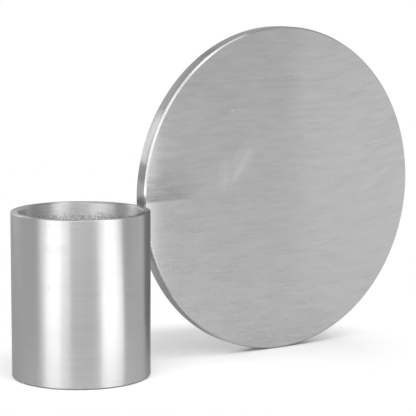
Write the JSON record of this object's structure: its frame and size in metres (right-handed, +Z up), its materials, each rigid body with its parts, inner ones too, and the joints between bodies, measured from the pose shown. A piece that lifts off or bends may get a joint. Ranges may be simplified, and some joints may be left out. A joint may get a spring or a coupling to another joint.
{
  "type": "candle holder",
  "caption": "Brushed aluminium candle holder: a thick-walled round cup for a pillar candle, with a large plain disc standing on its rim at the cup's side as a reflector.",
  "frame": {"origin": "centre of the flat face that the cup stands on", "axes": "+Z up along the cup's axis; +X from the cup's axis to the centre of the disc; +Y square to the disc's two flat faces, and the pictured face looks to -Y"},
  "size_m": [0.2811, 0.081, 0.2],
  "materials": {
    "cup_metal": "turned and brushed outside, rough cast inside",
    "disc_metal": "straight brushed faces, bright bevels",
    "saddle_metal": "milled",
    "screw_steel": "plain",
    "felt": "pressed felt"
  },
  "bodies": {
    "root": {"cup_body": "cup_metal", "reflector_disc": "disc_metal", "saddle_block": "saddle_metal", "joint_screws": "screw_steel", "base_felt": "felt"}
  },
  "joints": []
}
